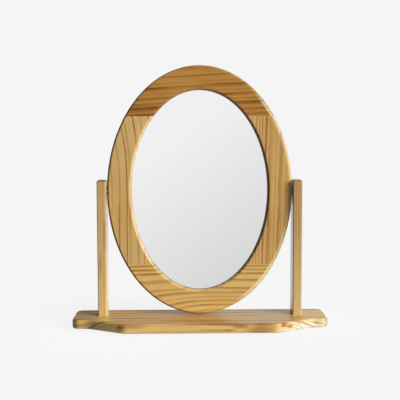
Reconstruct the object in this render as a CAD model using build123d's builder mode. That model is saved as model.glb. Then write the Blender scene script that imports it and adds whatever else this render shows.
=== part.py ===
from build123d import *
import os
from math import atan2, cos, radians, sin, sqrt, tan

# Oval dressing table mirror: a dowelled pine frame that swings between two posts on a shaped base.
# Millimetres, +Z up, front towards -Y, origin on the resting surface under the middle of the base.

# Oval frame, cut from four boards
frame_width = 379.0
frame_height = 510.0
frame_border = 50.0
frame_thickness = 20.0
rail_board_width = 103.0
frame_outer_round = 5.0
frame_inner_round = 6.0
frame_back_round = 2.0

# Dowels across the four board joints
dowel_diameter = 6.0
dowel_length = 30.0
dowel_pitch = 15.0
dowel_end_chamfer = 0.8
dowel_end_gap = 0.5
glue_clearance = 0.05

# Mirror glass and backing board, in two steps cut into the back of the frame
glass_thickness = 4.0
glass_lap = 8.0
glass_clearance = 0.8
glass_edge_chamfer = 0.5
backing_thickness = 3.0
backing_recess = 3.0
backing_lap = 12.0
backing_clearance = 0.4
backing_screw_count = 8
backing_screw_diameter = 3.0
backing_screw_length = 12.0
backing_screw_head_rim = 1.4

# Posts
post_width = 19.0
post_depth = 44.0
post_arris = 3.0
post_top_round = 7.0
post_above_pivot = 22.0
post_back_margin = 23.0
post_front_margin = 29.0
post_screw_diameter = 5.0
post_screw_length = 60.0
post_screw_head_rim = 2.4
post_screw_pitch = 24.0

# Base board
base_thickness = 19.0
base_overhang = 50.5
base_front_step = 46.0
base_diagonal_run = 75.0
base_end_flat = 5.0
base_end_radius = 16.0
base_brow_radius = 30.0
base_hollow_radius = 40.0
base_top_round = 5.0
base_bottom_round = 2.0

# Felt pads under the base
pad_diameter = 20.0
pad_thickness = 1.5
pad_margin = 14.0

# Pivot on each side: bolt, sleeve in the post, threaded insert in the frame, washers and a wood plug
bolt_diameter = 6.0
bolt_head_rim = 2.2
bolt_head_height = 3.3
bolt_tip_gap = 1.5
bolt_edge_chamfer = 0.5
bolt_socket_across_corners = 4.6
bolt_socket_depth = 2.0
insert_wall = 1.5
insert_length = 13.0
sleeve_wall = 1.5
running_clearance = 0.05
friction_washer_rim = 4.0
friction_washer_thickness = 1.3
friction_washer_seat = 0.5
head_washer_rim = 2.6
head_washer_thickness = 1.2
head_washer_clearance = 0.3
side_float = 0.2
plug_thickness = 3.0
plug_gap = 1.0
plug_edge_chamfer = 0.4
counterbore_clearance = 0.6
swing_clearance = 2.0

# Threads and the screw forms shared by every wood screw
thread_clearance = 0.05
pilot_end_gap = 0.5
shank_clearance = 0.2
screw_tip_share = 0.1
screw_recess_width = 0.9
screw_recess_depth = 1.2
screw_head_angle = 90.0

# Depths, from the back edge of the base to its front
base_end_depth = post_back_margin + post_depth + post_front_margin
base_depth = base_end_depth + base_front_step
base_back = base_depth / 2
base_front = -base_depth / 2
base_end_front = base_back - base_end_depth
post_plane = base_back - post_back_margin - post_depth / 2
frame_back = post_plane + frame_thickness / 2

# Heights
base_top = pad_thickness + base_thickness
pivot_height = base_top + swing_clearance + frame_height / 2
post_height = pivot_height + post_above_pivot - base_top
upper_joint = pivot_height + frame_height / 2 - rail_board_width
lower_joint = pivot_height - frame_height / 2 + rail_board_width

# Widths, outwards from the middle of the glass
opening_width = frame_width - 2 * frame_border
opening_height = frame_height - 2 * frame_border
glass_bed_width = opening_width + 2 * glass_lap
glass_bed_height = opening_height + 2 * glass_lap
backing_bed_width = glass_bed_width + 2 * backing_lap
backing_bed_height = glass_bed_height + 2 * backing_lap
washer_seat = frame_width / 2 - friction_washer_seat
post_inner_face = washer_seat + friction_washer_thickness + side_float
post_middle = post_inner_face + post_width / 2
post_outer_face = post_inner_face + post_width
base_half_width = post_outer_face + base_overhang

# Round fits
bolt_radius = bolt_diameter / 2
bolt_head_radius = bolt_radius + bolt_head_rim
insert_radius = bolt_radius + thread_clearance + insert_wall
sleeve_radius = bolt_radius + running_clearance + sleeve_wall
friction_washer_radius = bolt_radius + friction_washer_rim
head_washer_radius = bolt_radius + head_washer_rim
counterbore_radius = max(bolt_head_radius, head_washer_radius) + counterbore_clearance
head_seat = head_washer_thickness + side_float
counterbore_depth = plug_thickness + plug_gap + bolt_head_height + head_seat
counterbore_floor = post_outer_face - counterbore_depth
bolt_head_under = counterbore_floor + head_seat
insert_end = washer_seat - insert_length
bolt_end = insert_end + bolt_tip_gap
dowel_radius = dowel_diameter / 2
dowel_hole_depth = dowel_length / 2 + dowel_end_gap

sides = (("left", -1), ("right", 1))
levels = (("upper", upper_joint), ("lower", lower_joint))

# Planes across the oval, each facing the front: the frame's back, the backing's back and the glass's back
frame_plane = Plane(origin=(0, frame_back, pivot_height), x_dir=(1, 0, 0), z_dir=(0, -1, 0))
backing_plane = frame_plane.offset(backing_recess)
glass_plane = backing_plane.offset(backing_thickness)


def finish(piece, name):
    """Label a finished piece and write it under its own name."""
    piece.part.label = name
    export_step(piece.part, f"parts/{name}.step")


def oval_reach(width, height, level):
    """Half the width of an oval at a level above or below its middle."""
    return width / 2 * sqrt(1 - (2 * level / height) ** 2)


def countersunk_screw(diameter, head_rim, length):
    """Wood screw with a cross recess, standing on its flat head at the origin and pointing up."""
    shank_radius = diameter / 2
    head_radius = shank_radius + head_rim
    head_depth = head_rim / tan(radians(screw_head_angle / 2))
    tip_radius = shank_radius * screw_tip_share
    with BuildPart() as screw:
        with BuildSketch(Plane.XZ):
            with BuildLine():
                Polyline(
                    (0, 0),
                    (head_radius, 0),
                    (shank_radius, head_depth),
                    (shank_radius, length - diameter),
                    (tip_radius, length),
                    (0, length),
                    close=True,
                )
            make_face()
        revolve(axis=Axis.Z)
        with BuildSketch(Plane.XY):
            Rectangle(head_radius, screw_recess_width)
            Rectangle(screw_recess_width, head_radius)
        extrude(amount=screw_recess_depth, mode=Mode.SUBTRACT)
    return screw.part


def pivot_plane(sign, reach):
    """Plane square to the pivot axis at a distance from the middle, facing away from the glass."""
    return Plane(origin=(sign * reach, post_plane, pivot_height), z_dir=(sign, 0, 0))


# Backing screws stand on an oval half way across the backing's lap, clear of the board joints
screw_oval_width = glass_bed_width + backing_lap
screw_oval_height = glass_bed_height + backing_lap
screw_angles = [360 / backing_screw_count * (step + 0.5) for step in range(backing_screw_count)]
backing_screw_spots = [
    (screw_oval_width / 2 * cos(radians(angle)), screw_oval_height / 2 * sin(radians(angle)))
    for angle in screw_angles
]

# Dowels stand in the middle of the wood left between the outer edge and the glass step
joint_level = frame_height / 2 - rail_board_width
dowel_outer_limit = oval_reach(frame_width, frame_height, joint_level + dowel_length / 2)
dowel_inner_limit = oval_reach(glass_bed_width, glass_bed_height, joint_level - dowel_length / 2)
dowel_middle = (dowel_outer_limit + dowel_inner_limit) / 2


def dowel_spots(sign, height):
    """Middles of the two dowels of one joint."""
    inner = dowel_middle - dowel_pitch / 2
    outer = dowel_middle + dowel_pitch / 2
    return [(sign * inner, post_plane, height), (sign * outer, post_plane, height)]


# Screws that hold each post stand along its depth
post_screw_offsets = (-post_screw_pitch / 2, post_screw_pitch / 2)


def post_screw_spots(sign, height):
    """Points on the two screws of one post at a height."""
    return [(sign * post_middle, post_plane + offset, height) for offset in post_screw_offsets]


os.makedirs("parts", exist_ok=True)

# Base board: a straight back, narrow ends and a front that steps out along two diagonals
diagonal_turn = atan2(base_front_step, base_diagonal_run)
hollow_reach = base_hollow_radius * tan(diagonal_turn / 2)
hollow_corner = base_half_width - base_end_radius - base_end_flat - hollow_reach
brow_corner = hollow_corner - base_diagonal_run
outline_radii = [base_brow_radius, base_hollow_radius, base_end_radius, base_end_radius]

with BuildPart() as base_board:
    with BuildSketch(Plane.XY.offset(pad_thickness)):
        with BuildLine():
            FilletPolyline(
                (0, base_front),
                (brow_corner, base_front),
                (hollow_corner, base_end_front),
                (base_half_width, base_end_front),
                (base_half_width, base_back),
                (0, base_back),
                radius=outline_radii,
            )
            mirror(about=Plane.YZ)
        make_face()
    extrude(amount=base_thickness)
    fillet(base_board.faces().sort_by(Axis.Z)[-1].edges(), base_top_round)
    fillet(base_board.faces().sort_by(Axis.Z)[0].edges(), base_bottom_round)
    for side, sign in sides:
        with Locations(*[Plane(spot, z_dir=(0, 0, -1)) for spot in post_screw_spots(sign, pad_thickness)]):
            CounterSinkHole(
                radius=post_screw_diameter / 2 + shank_clearance,
                counter_sink_radius=post_screw_diameter / 2 + post_screw_head_rim + thread_clearance,
                counter_sink_angle=screw_head_angle,
            )
finish(base_board, "base_board")

# Felt pads near the corners of the front edge and of the back edge
pad_inset = pad_margin + pad_diameter / 2
pad_front_spot = brow_corner - pad_inset
pad_back_spot = base_half_width - pad_inset

with BuildPart() as felt_pads:
    with BuildSketch(Plane.XY):
        with Locations(
            (-pad_front_spot, base_front + pad_inset),
            (pad_front_spot, base_front + pad_inset),
            (-pad_back_spot, base_back - pad_inset),
            (pad_back_spot, base_back - pad_inset),
        ):
            Circle(pad_diameter / 2)
    extrude(amount=pad_thickness)
finish(felt_pads, "felt_pads")

# Posts, rounded at the top and along their edges, bored for the pivot and screwed up through the base
post_screw = countersunk_screw(post_screw_diameter, post_screw_head_rim, post_screw_length)
pilot_depth = post_screw_length - base_thickness + pilot_end_gap

for side, sign in sides:
    with BuildPart() as post:
        with BuildSketch(Plane.YZ.offset(sign * post_middle)) as post_side:
            with Locations((post_plane, base_top + post_height / 2)):
                Rectangle(post_depth, post_height)
            fillet(post_side.vertices().group_by(Axis.Y)[-1], post_top_round)
        extrude(amount=post_width / 2, both=True)
        side_edges = post.faces().filter_by(Axis.X).edges().sort_by(Axis.Z)
        fillet(side_edges[2:], post_arris)
        with Locations(pivot_plane(sign, post_outer_face)):
            CounterBoreHole(
                radius=sleeve_radius + glue_clearance,
                counter_bore_radius=counterbore_radius,
                counter_bore_depth=counterbore_depth,
            )
        with Locations(*post_screw_spots(sign, base_top)):
            Hole(post_screw_diameter / 2 + thread_clearance, depth=pilot_depth)
    finish(post, f"{side}_post")

    with BuildPart() as post_screws:
        with Locations(*post_screw_spots(sign, pad_thickness)):
            add(post_screw)
    finish(post_screws, f"{side}_post_screws")

# The whole oval ring, before it is taken apart at its board joints
backing_bed_depth = backing_recess + backing_thickness
glass_bed_depth = backing_bed_depth + glass_thickness

with BuildPart() as frame_ring:
    with BuildSketch(frame_plane):
        Ellipse(frame_width / 2, frame_height / 2)
        Ellipse(opening_width / 2, opening_height / 2, mode=Mode.SUBTRACT)
    extrude(amount=frame_thickness)
    fillet(frame_ring.faces().sort_by(Axis.Y)[0].edges().sort_by(SortBy.LENGTH)[-1], frame_outer_round)
    fillet(frame_ring.faces().sort_by(Axis.Y)[0].edges().sort_by(SortBy.LENGTH)[0], frame_inner_round)
    fillet(frame_ring.faces().sort_by(Axis.Y)[-1].edges().sort_by(SortBy.LENGTH)[-1], frame_back_round)
    with BuildSketch(frame_plane):
        Ellipse(glass_bed_width / 2, glass_bed_height / 2)
    extrude(amount=glass_bed_depth, mode=Mode.SUBTRACT)
    with BuildSketch(frame_plane):
        Ellipse(backing_bed_width / 2, backing_bed_height / 2)
    extrude(amount=backing_bed_depth, mode=Mode.SUBTRACT)
    with Locations(backing_plane):
        with Locations(*backing_screw_spots):
            Hole(backing_screw_diameter / 2 + thread_clearance, depth=backing_screw_length + pilot_end_gap)

# Rails: the boards above the upper joint and below the lower joint
for name, joint, keep in (
    ("frame_top_rail", upper_joint, Keep.TOP),
    ("frame_bottom_rail", lower_joint, Keep.BOTTOM),
):
    with BuildPart() as rail:
        add(frame_ring.part)
        split(bisect_by=Plane.XY.offset(joint), keep=keep)
        with Locations(*dowel_spots(-1, joint), *dowel_spots(1, joint)):
            Hole(dowel_radius + glue_clearance, depth=dowel_hole_depth)
    finish(rail, name)

# Stiles: the boards between the joints, bored for the pivot inserts
for side, sign in sides:
    with BuildPart() as stile:
        add(frame_ring.part)
        split(bisect_by=Plane.XY.offset(upper_joint), keep=Keep.BOTTOM)
        split(bisect_by=Plane.XY.offset(lower_joint), keep=Keep.TOP)
        split(bisect_by=Plane.YZ, keep=Keep.TOP if sign > 0 else Keep.BOTTOM)
        with Locations(*dowel_spots(sign, upper_joint), *dowel_spots(sign, lower_joint)):
            Hole(dowel_radius + glue_clearance, depth=dowel_hole_depth)
        with Locations(pivot_plane(sign, frame_width / 2)):
            CounterBoreHole(
                radius=insert_radius + glue_clearance,
                counter_bore_radius=friction_washer_radius + glue_clearance,
                counter_bore_depth=friction_washer_seat,
                depth=friction_washer_seat + insert_length,
            )
    finish(stile, f"frame_{side}_stile")

# Dowels, two to a joint
for level, height in levels:
    for side, sign in sides:
        with BuildPart() as dowels:
            with Locations(*dowel_spots(sign, height)):
                Cylinder(dowel_radius, dowel_length)
            chamfer(dowels.edges().filter_by(GeomType.CIRCLE), dowel_end_chamfer)
        finish(dowels, f"{level}_{side}_dowels")

# Mirror glass, resting against the front lip of the frame
with BuildPart() as mirror_glass:
    with BuildSketch(glass_plane):
        Ellipse(glass_bed_width / 2 - glass_clearance, glass_bed_height / 2 - glass_clearance)
    extrude(amount=glass_thickness)
    chamfer(mirror_glass.edges(), glass_edge_chamfer)
finish(mirror_glass, "mirror_glass")

# Backing board, sunk into the back of the frame and screwed through its rim
with BuildPart() as backing_board:
    with BuildSketch(backing_plane):
        Ellipse(backing_bed_width / 2 - backing_clearance, backing_bed_height / 2 - backing_clearance)
    extrude(amount=backing_thickness)
    with Locations(Plane(backing_plane.origin, x_dir=(1, 0, 0), z_dir=(0, 1, 0))):
        with Locations(*backing_screw_spots):
            CounterSinkHole(
                radius=backing_screw_diameter / 2 + shank_clearance,
                counter_sink_radius=backing_screw_diameter / 2 + backing_screw_head_rim + thread_clearance,
                counter_sink_angle=screw_head_angle,
            )
finish(backing_board, "backing_board")

backing_screw = countersunk_screw(backing_screw_diameter, backing_screw_head_rim, backing_screw_length)

with BuildPart() as backing_screws:
    with Locations(backing_plane):
        with Locations(*backing_screw_spots):
            add(backing_screw)
finish(backing_screws, "backing_screws")

# Pivots
for side, sign in sides:
    # Threaded insert, glued into the edge of the stile
    with BuildPart() as pivot_insert:
        with BuildSketch(pivot_plane(sign, insert_end)):
            Circle(insert_radius)
            Circle(bolt_radius + thread_clearance, mode=Mode.SUBTRACT)
        extrude(amount=insert_length)
    finish(pivot_insert, f"{side}_pivot_insert")

    # Friction washer between the frame and the post, seated in a flat cut in the frame's edge
    with BuildPart() as friction_washer:
        with BuildSketch(pivot_plane(sign, washer_seat)):
            Circle(friction_washer_radius)
            Circle(bolt_radius + thread_clearance, mode=Mode.SUBTRACT)
        extrude(amount=friction_washer_thickness)
    finish(friction_washer, f"{side}_friction_washer")

    # Sleeve in the post, from the post's inner face to the floor of its counterbore
    with BuildPart() as pivot_sleeve:
        with BuildSketch(pivot_plane(sign, post_inner_face)):
            Circle(sleeve_radius)
            Circle(bolt_radius + running_clearance, mode=Mode.SUBTRACT)
        extrude(amount=counterbore_floor - post_inner_face)
    finish(pivot_sleeve, f"{side}_pivot_sleeve")

    # Washer under the bolt's head, on the floor of the counterbore
    with BuildPart() as head_washer:
        with BuildSketch(pivot_plane(sign, counterbore_floor)):
            Circle(head_washer_radius)
            Circle(bolt_radius + head_washer_clearance, mode=Mode.SUBTRACT)
        extrude(amount=head_washer_thickness)
    finish(head_washer, f"{side}_head_washer")

    # Bolt, turning with the frame inside the sleeve
    with BuildPart() as pivot_bolt:
        with BuildSketch(pivot_plane(sign, bolt_end)):
            Circle(bolt_radius)
        extrude(amount=bolt_head_under - bolt_end)
        with BuildSketch(pivot_plane(sign, bolt_head_under)):
            Circle(bolt_head_radius)
        extrude(amount=bolt_head_height)
        rims = pivot_bolt.edges().filter_by(GeomType.CIRCLE).sort_by(Axis.X)
        chamfer([rims[0], rims[-1]], bolt_edge_chamfer)
        with BuildSketch(pivot_plane(sign, bolt_head_under + bolt_head_height)):
            RegularPolygon(bolt_socket_across_corners / 2, 6)
        extrude(amount=-bolt_socket_depth, mode=Mode.SUBTRACT)
    finish(pivot_bolt, f"{side}_pivot_bolt")

    # Wood plug, flush with the post's outer face
    with BuildPart() as pivot_plug:
        with BuildSketch(pivot_plane(sign, post_outer_face - plug_thickness)):
            Circle(counterbore_radius - glue_clearance)
        extrude(amount=plug_thickness)
        chamfer(pivot_plug.edges().sort_by(Axis.X)[-1 if sign > 0 else 0], plug_edge_chamfer)
    finish(pivot_plug, f"{side}_pivot_plug")
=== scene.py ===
"""Looks of a free-standing oval dressing table mirror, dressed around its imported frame.

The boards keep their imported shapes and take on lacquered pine, whose growth rings run through each
board as through solid timber. The felt pads are remodelled as pressed felt.
"""

import itertools
import logging
import math
from dataclasses import dataclass
from enum import Enum

import bmesh
import bpy
from bpy.types import Material, Node, NodeSocket, NodeTree
from mathutils import Matrix, Vector, noise


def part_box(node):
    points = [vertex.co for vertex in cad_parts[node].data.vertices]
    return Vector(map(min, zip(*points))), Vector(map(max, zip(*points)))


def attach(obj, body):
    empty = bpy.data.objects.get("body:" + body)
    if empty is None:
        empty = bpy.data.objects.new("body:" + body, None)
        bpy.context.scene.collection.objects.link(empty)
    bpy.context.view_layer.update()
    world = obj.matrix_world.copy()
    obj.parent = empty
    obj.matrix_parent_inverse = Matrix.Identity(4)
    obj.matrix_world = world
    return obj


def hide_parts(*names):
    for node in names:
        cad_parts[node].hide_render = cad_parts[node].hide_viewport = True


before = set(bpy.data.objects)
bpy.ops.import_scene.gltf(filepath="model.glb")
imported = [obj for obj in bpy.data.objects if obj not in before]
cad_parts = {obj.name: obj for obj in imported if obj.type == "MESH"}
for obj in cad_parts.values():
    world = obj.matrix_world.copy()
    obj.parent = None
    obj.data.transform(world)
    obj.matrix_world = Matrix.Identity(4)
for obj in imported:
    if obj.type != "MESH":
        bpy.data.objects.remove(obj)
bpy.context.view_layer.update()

LOG = logging.getLogger("dressing_table_mirror")
MM = 0.001
PER_METRE = 1000.0
WHITE = (1.0, 1.0, 1.0, 1.0)

Feed = NodeSocket | float | tuple
Sockets = bpy.types.bpy_prop_collection


class SocketKind(Enum):
    """Kinds of socket on a shader node group."""

    VALUE = "NodeSocketFloat"
    COLOUR = "NodeSocketColor"
    VECTOR = "NodeSocketVector"


class Grain(Enum):
    """How a board lies: the part's axes along its fibres, across its face and through it."""

    LEVEL = ("X", "Z", "Y")
    UPRIGHT = ("Z", "X", "Y")
    FLAT = ("X", "Y", "Z")
    CROSSWISE = ("Y", "Z", "X")


@dataclass(frozen=True)
class Shade:
    """A colour as a screen shows it, each part from 0 to 255."""

    red: float
    green: float
    blue: float

    def light(self) -> tuple[float, float, float, float]:
        """Returns the colour as linear light with full alpha."""
        return (*(screen_light(part) for part in (self.red, self.green, self.blue)), 1.0)


def screen_light(part: float) -> float:
    """Returns one part of a screen colour, 0 to 255, as linear light, 0 to 1."""
    share = part / 255
    return share / 12.92 if share <= 0.04045 else ((share + 0.055) / 1.055) ** 2.4


class NodeBench:
    """Adds nodes to one node tree and links them."""

    def __init__(self, tree: NodeTree) -> None:
        """Keeps the tree that the nodes go into."""
        self.tree = tree

    def feed(self, value: Feed, socket: NodeSocket) -> None:
        """Links an output to a socket, or sets the socket to a plain value.

        Args:
            value: An output socket, a number or a tuple.
            socket: The input that takes it.
        """
        if isinstance(value, NodeSocket):
            self.tree.links.new(value, socket)
        else:
            socket.default_value = value

    def add(self, kind: str, feeds: dict | None = None, **settings: object) -> Node:
        """Adds a node.

        Args:
            kind: Blender's name of the node type.
            feeds: What goes into its inputs, by name or number.
            **settings: Plain settings of the node.

        Returns:
            The new node.
        """
        node = self.tree.nodes.new(kind)
        for key, value in settings.items():
            setattr(node, key, value)
        for key, value in (feeds or {}).items():
            self.feed(value, node.inputs[key])
        return node

    def group(self, tree: NodeTree, feeds: dict) -> Sockets:
        """Places a shared node group, fed by the names of its inputs, and returns its outputs."""
        return self.add("ShaderNodeGroup", feeds, node_tree=tree).outputs

    def math(self, operation: str, *values: Feed) -> NodeSocket:
        """Returns what one of Blender's operations makes of the values."""
        return self.add("ShaderNodeMath", dict(enumerate(values)), operation=operation).outputs[0]

    def times(self, first: Feed, second: Feed) -> NodeSocket:
        """Returns the product of two values."""
        return self.math("MULTIPLY", first, second)

    def rest(self, value: Feed) -> NodeSocket:
        """Returns what a share leaves of one."""
        return self.math("SUBTRACT", 1.0, value)

    def vector(self, operation: str, *values: Feed) -> NodeSocket:
        """Returns what one of Blender's operations makes of vectors."""
        node = self.add("ShaderNodeVectorMath", dict(enumerate(values)), operation=operation)
        return node.outputs["Value" if operation in ("LENGTH", "DOT_PRODUCT") else "Vector"]

    def parts(self, vector: Feed) -> Sockets:
        """Returns the three parts of a vector."""
        return self.add("ShaderNodeSeparateXYZ", {0: vector}).outputs

    def joined(self, *parts: Feed) -> NodeSocket:
        """Returns the vector that has the given parts."""
        return self.add("ShaderNodeCombineXYZ", dict(enumerate(parts))).outputs[0]

    def grey(self, value: Feed) -> NodeSocket:
        """Returns the grey of a value."""
        return self.add("ShaderNodeCombineColor", {0: value, 1: value, 2: value}).outputs[0]

    def mix(self, share: Feed, first: Feed, second: Feed) -> NodeSocket:
        """Returns a value that goes from the first to the second with the share."""
        return self.add("ShaderNodeMix", {0: share, 2: first, 3: second}).outputs[0]

    def blend(self, share: Feed, first: Feed, second: Feed, kind: str = "MIX") -> NodeSocket:
        """Returns the first colour, blended with a share of the second in one of Blender's ways."""
        feeds = {0: share, 6: first, 7: second}
        return self.add("ShaderNodeMix", feeds, data_type="RGBA", blend_type=kind).outputs[2]

    def spread(self, value: Feed, low: Feed, high: Feed, to_low: Feed, to_high: Feed) -> NodeSocket:
        """Returns a value eased from one range into another, and held at the ends."""
        feeds = {0: value, 1: low, 2: high, 3: to_low, 4: to_high}
        return self.add("ShaderNodeMapRange", feeds, interpolation_type="SMOOTHSTEP").outputs[0]

    def ramp(self, value: Feed, stops: list[tuple[float, float]]) -> NodeSocket:
        """Reads a grey off a scale.

        Args:
            value: Place on the scale, 0 to 1.
            stops: Places and greys, in order.

        Returns:
            The grey.
        """
        node = self.add("ShaderNodeValToRGB", {0: value})
        scale = node.color_ramp
        scale.interpolation = "EASE"
        for index, (place, level) in enumerate(stops):
            stop = scale.elements[index] if index < len(scale.elements) else scale.elements.new(place)
            stop.position = place
            stop.color = (level, level, level, 1.0)
        return node.outputs[0]

    def emission(self, strength: Feed) -> NodeSocket:
        """Returns plain white light of a strength."""
        return self.add("ShaderNodeEmission", {"Color": WHITE, "Strength": strength}).outputs[0]

    def either(self, share: Feed, first: Feed, second: Feed) -> NodeSocket:
        """Returns the first shader, or with the share the second."""
        return self.add("ShaderNodeMixShader", {0: share, 1: first, 2: second}).outputs[0]


@dataclass(frozen=True)
class Figure:
    """Soft random variation in a substance.

    Attributes:
        pitch: How often it changes along, across and through the piece, per unit of place.
        shift: Added to the piece's seed.
        detail: Steps of finer variation.
        roughness: Strength of the finer steps.
    """

    pitch: tuple[float, float, float]
    shift: float = 0.0
    detail: float = 2.0
    roughness: float = 0.5

    def nodes(self, bench: NodeBench, place: Feed, seed: Feed) -> NodeSocket:
        """Adds the variation.

        Args:
            bench: Where the nodes go.
            place: Place in the piece.
            seed: Which piece it is.

        Returns:
            The variation, about 0 to 1.
        """
        feeds = {"Vector": bench.vector("MULTIPLY", place, self.pitch), "Scale": 1.0, "Detail": self.detail,
                 "W": bench.math("ADD", seed, self.shift) if self.shift else seed,
                 "Roughness": self.roughness}
        return bench.add("ShaderNodeTexNoise", feeds, noise_dimensions="4D").outputs[0]


def open_group(name: str, takes: dict[SocketKind, str], gives: dict[SocketKind, str]) -> tuple:
    """Starts a shader node group.

    Args:
        name: The group's name.
        takes: Its inputs of each kind, as a list with commas.
        gives: Its outputs in the same way.

    Returns:
        The bench to build on, the inputs as they come in, and the outputs to feed.
    """
    tree = bpy.data.node_groups.new(name, "ShaderNodeTree")
    for way, sockets in (("INPUT", takes), ("OUTPUT", gives)):
        for kind, labels in sockets.items():
            for label in labels.split(", "):
                tree.interface.new_socket(name=label, in_out=way, socket_type=kind.value)
    bench = NodeBench(tree)
    return bench, bench.add("NodeGroupInput").outputs, bench.add("NodeGroupOutput").inputs


def open_material(name: str) -> tuple[NodeBench, Node, Material]:
    """Starts a material.

    Args:
        name: The material's name.

    Returns:
        The bench to build on, the node that ends it and the material.
    """
    material = bpy.data.materials.new(name)
    material.use_nodes = True
    material.node_tree.nodes.clear()
    bench = NodeBench(material.node_tree)
    return bench, bench.add("ShaderNodeOutputMaterial"), material


def finish_material(name: str, bench: NodeBench, end: Node, looks: dict) -> None:
    """Ends a material in one surface shader.

    Args:
        name: What the log calls it.
        bench: Where the nodes go.
        end: The node that ends the material.
        looks: What goes into the shader's inputs, by name.
    """
    shader = bench.add("ShaderNodeBsdfPrincipled", looks)
    bench.feed(shader.outputs[0], end.inputs["Surface"])
    LOG.info("finish %s mixed", name)


# Pale sapwood mixed with a painted highlight, which pale patches blend towards.
SAPWOOD_AND_HIGHLIGHT = Shade(250, 238, 210)
# Cream of the painted highlights on the frame's edges that face right or up, and along the oval's right
# side.
HIGHLIGHT_CREAM = Shade(240, 218, 168)

# How the wood varies, by mm of the board.
BEND = Figure((0.009, 0.022, 0.022))
FEATHER = Figure((0.02, 0.5, 0.5), roughness=0.6)
DRIFT = Figure((0.011, 0.11, 0.0), shift=5.0)
STREAK = Figure((0.012, 0.35, 0.35), detail=3.0, roughness=0.6)
FIBRE = Figure((0.05, 2.2, 2.2), roughness=0.6)
CANAL = Figure((0.09, 3.1, 3.1), shift=7.0, detail=1.0)
BLOTCH = Figure((0.006, 0.02, 0.02), shift=3.0)

# How far the rings sway, the fine rings between the dark ones, and the depth of canals and dark wood.
BEND_GAIN = 4.0
FEATHER_GAIN = 3.0
FINE_RING = 1.3
FINE_WANDER = 2.0
FINE_DARK = 0.08
CANAL_DEPTH = 0.5
LATE_DEPTH = 0.4

# Four numbers each: the start and end of a range, and what they become.
PATCH_FADE = (0.15, 1.0, 1.0, 0.0)
# Range for painted shade on the lip next to the glass.
LIP_FACING = (-0.6, -0.2, 1.0, 0.0)
# Range for painted shade on rounded edges that face left and down.
SHADED_FACING = (0.1, 0.5, 0.0, 1.0)
# Ranges for the band along the oval's right side that takes a painted highlight.
BAND_INNER = (0.957, 0.975, 0.0, 1.0)
BAND_OUTER = (0.983, 0.996, 1.0, 0.0)
BAND_SIDE = (0.38, 0.56, 0.0, 1.0)
OFF_EDGE = (0.03, 0.2, 0.0, 1.0)
OFF_FACE = (0.9, 0.995, 1.0, 0.0)
DRIFT_LATE = (0.3, 0.7, 0.5, 1.15)
STREAK_LATE = (0.25, 0.75, 0.7, 1.15)
BLOTCH_LATE = (0.35, 0.75, 0.0, 0.2)
# Range for the painted highlight on rounded edges that face right or up.
EDGE_HIGHLIGHT_FACING = (-0.2, 0.3, 0.0, 1.0)
# Range for streaks in the painted highlight band.
STREAK_IN_BAND = (0.2, 0.8, 0.75, 1.15)
FIBRE_TONE = (0.2, 0.8, 0.9, 1.08)
STREAK_TONE = (0.2, 0.8, -0.07, 0.07)
CANAL_TONE = (0.66, 0.78, 0.0, 0.18)
END_TONE = (0.3, 1.0, 1.0, 0.55)
FIBRE_ROUGHNESS = (0.2, 0.8, 0.42, 0.52)

# Painted shade on the lip next to the glass, and the ways that the painted highlight band and the painted
# shade on the frame's edges face.
LIP_SHADE = 0.75
BAND_TOWARD = (0.995, 0.0, -0.105)
SHADED_SIDE = (-0.94, 0.0, -0.34)
IN_FACE = (1.0, 0.0, 1.0)


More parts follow.
